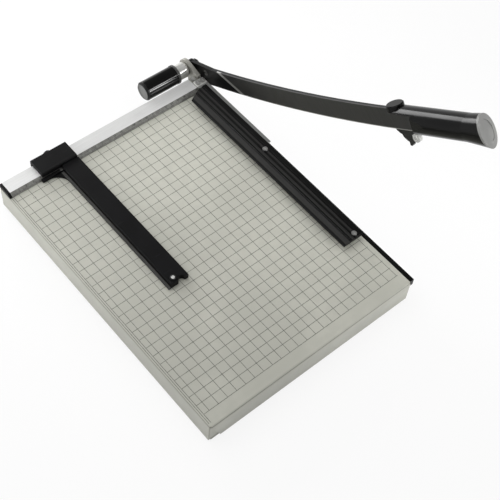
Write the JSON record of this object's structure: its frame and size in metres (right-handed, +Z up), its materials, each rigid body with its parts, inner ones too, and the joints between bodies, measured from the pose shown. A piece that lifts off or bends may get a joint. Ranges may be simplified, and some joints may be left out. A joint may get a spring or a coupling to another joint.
{
  "type": "guillotine paper trimmer",
  "caption": "Guillotine paper trimmer: folded steel table with a printed grid, curved blade arm on a sprung rear pivot, finger guard, rear rule, sliding back gauge and blade latch.",
  "frame": {"origin": "on the floor, under the middle of the overall box", "axes": "+Z up, +X to the right towards the blade side, +Y to the rear along the cut, where the rule and the arm's pivot are"},
  "size_m": [0.3246, 0.4724, 0.3268],
  "materials": {
    "table_paint": "light warm grey, semi-matt",
    "black_rubber": "matt",
    "screw_steel": "bright zinc plate",
    "rule_aluminium": "satin, printed scale on the bevel",
    "black_plastic": "fine grain",
    "black_steel": "black, semi-gloss",
    "plated_steel": "grey zinc plate",
    "bright_nickel": "polished nickel",
    "bronze": "turned",
    "blade_steel": "dark ground steel",
    "grip_plastic": "black, semi-gloss",
    "cap_plastic": "mid grey",
    "nylon": "natural nylon"
  },
  "bodies": {
    "base": {"base_tray": "table_paint", "rubber_feet": "black_rubber", "foot_screws": "screw_steel", "rear_rule": "rule_aluminium", "rule_end_cap": "black_plastic", "rule_screws": "screw_steel", "lower_blade": "black_steel", "lower_blade_screws": "screw_steel", "pivot_bracket": "plated_steel", "bracket_screws": "screw_steel", "pivot_boss": "bright_nickel", "pivot_bush": "bronze", "spring_housing": "black_steel", "housing_end_cap": "plated_steel", "housing_collar": "plated_steel", "guard_carrier": "plated_steel", "carrier_screws": "screw_steel", "finger_guard": "black_plastic", "guard_screws": "screw_steel", "latch_stud": "screw_steel"},
    "arm": {"arm_bar": "black_steel", "upper_blade": "blade_steel", "blade_screws": "screw_steel", "root_screw": "screw_steel", "pivot_shaft": "screw_steel", "shaft_nut": "screw_steel", "spring_washers": "screw_steel", "pivot_spring": "screw_steel", "arm_washer": "screw_steel", "arm_nut": "black_steel", "handle_grip": "grip_plastic", "grip_end_cap": "cap_plastic", "grip_pins": "screw_steel", "latch_pin": "screw_steel"},
    "latch": {"latch_hook": "black_steel"},
    "gauge": {"gauge_arm": "black_plastic", "gauge_head": "black_plastic", "gauge_screws": "screw_steel", "gauge_end_screw": "screw_steel", "glide_pad": "nylon", "clamp_pad": "bronze"},
    "clamp": {"clamp_screw": "black_plastic"}
  },
  "joints": [
    {"name": "arm_pivot", "type": "hinge", "parent": "base", "child": "arm", "pos_m": [0.14275, 0.22292, 0.04], "axis": [-1, 0, 0], "range_deg": [-30.5, 28]},
    {"name": "latch_swing", "type": "hinge", "parent": "arm", "child": "latch", "pos_m": [0.151, -0.12078, 0.23724], "axis": [-1, 0, 0], "range_deg": [-20, 8]},
    {"name": "gauge_slide", "type": "slide", "parent": "base", "child": "gauge", "axis": [1, 0, 0], "range_m": [-0.043, 0.14]},
    {"name": "clamp_turn", "type": "hinge", "parent": "gauge", "child": "clamp", "pos_m": [-0.08925, 0.21182, 0.0378], "axis": [0, 1, 0], "range_deg": [-30, 180]}
  ]
}
